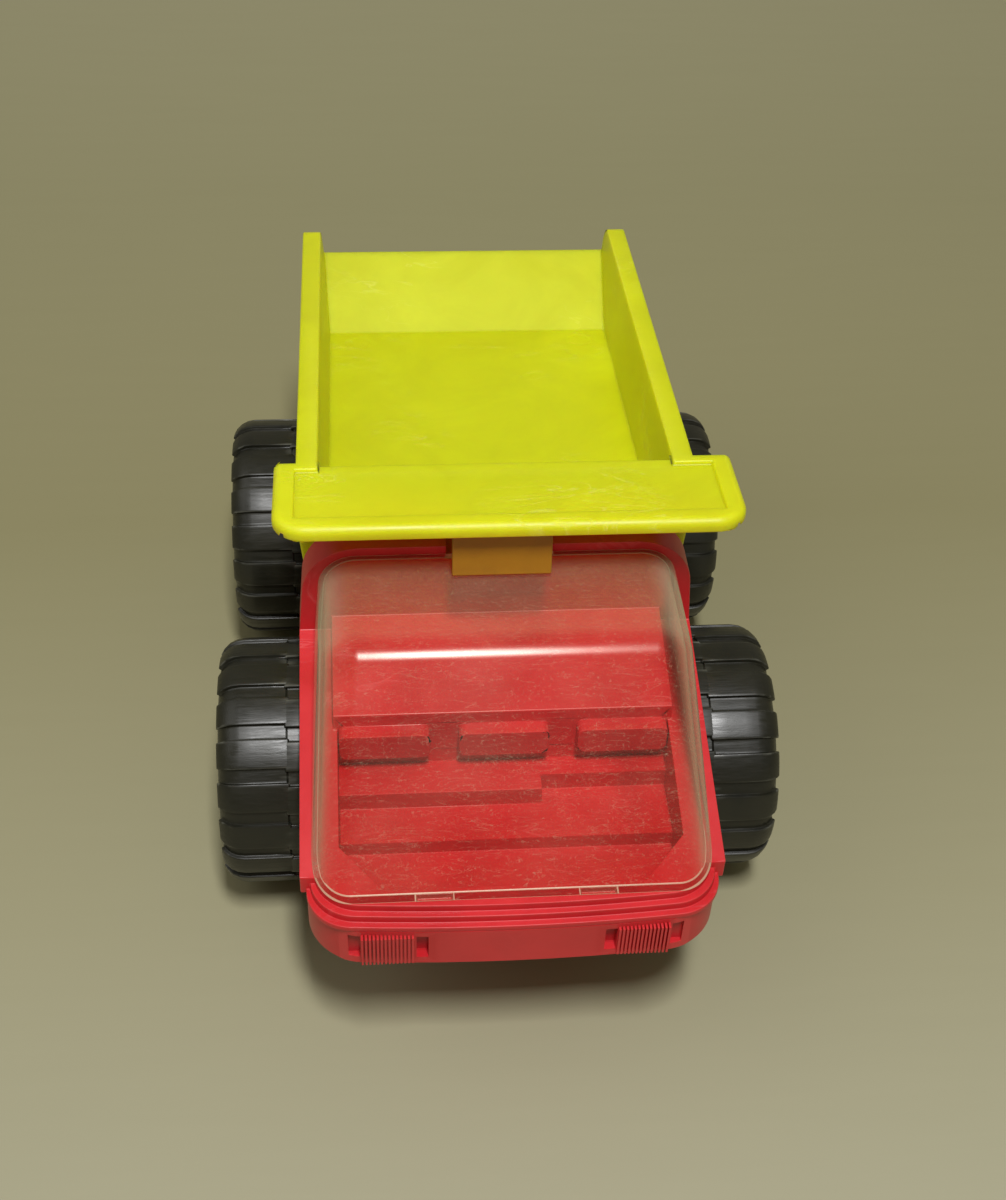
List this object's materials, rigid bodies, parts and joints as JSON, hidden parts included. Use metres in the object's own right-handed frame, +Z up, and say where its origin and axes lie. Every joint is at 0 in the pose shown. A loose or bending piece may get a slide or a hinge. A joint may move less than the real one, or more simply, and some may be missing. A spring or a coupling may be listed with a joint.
{
  "type": "toy dump truck",
  "caption": "Toy dump truck with a tipping open body and canopy, a clear-roofed cab with bench seats, a bumper with ribbed lamps and wide treaded wheels on steel axles.",
  "frame": {"origin": "on the ground under the middle of the truck, at the centre of its bounding box's lower face", "axes": "+Z up, the cab faces -Y, +X across the truck"},
  "size_m": [0.124, 0.1992, 0.1],
  "materials": {
    "red_plastic": "satin moulded polyethylene",
    "yellow_plastic": "satin moulded polyethylene, slightly translucent",
    "clear_plastic": "clear moulded polystyrene, finely scratched",
    "black_plastic": "satin black moulding",
    "steel": "plain drawn wire"
  },
  "bodies": {
    "truck": {"chassis": "red_plastic", "cab_tub": "red_plastic", "cab_dome": "clear_plastic", "hinge_rod": "steel", "rod_cap_l": "steel", "rod_cap_r": "steel", "cab_screw_l": "steel", "cab_screw_r": "steel"},
    "tipper": {"dump_body": "yellow_plastic"},
    "front_wheels": {"front_axle": "steel", "tyre_fl_outer": "black_plastic", "tyre_fl_inner": "black_plastic", "axle_cap_fl": "steel", "spacer_fl": "black_plastic", "tyre_fr_outer": "black_plastic", "tyre_fr_inner": "black_plastic", "axle_cap_fr": "steel", "spacer_fr": "black_plastic"},
    "rear_wheels": {"rear_axle": "steel", "tyre_rl_outer": "black_plastic", "tyre_rl_inner": "black_plastic", "axle_cap_rl": "steel", "spacer_rl": "black_plastic", "tyre_rr_outer": "black_plastic", "tyre_rr_inner": "black_plastic", "axle_cap_rr": "steel", "spacer_rr": "black_plastic"}
  },
  "joints": [
    {"name": "tip", "type": "hinge", "parent": "truck", "child": "tipper", "pos_m": [0, 0.07125, 0.0566], "axis": [-1, 0, 0], "range_deg": [0, 45]},
    {"name": "front_roll", "type": "hinge", "parent": "truck", "child": "front_wheels", "pos_m": [0, -0.03625, 0.028], "axis": [1, 0, 0], "continuous": true},
    {"name": "rear_roll", "type": "hinge", "parent": "truck", "child": "rear_wheels", "pos_m": [0, 0.04615, 0.028], "axis": [1, 0, 0], "continuous": true}
  ]
}
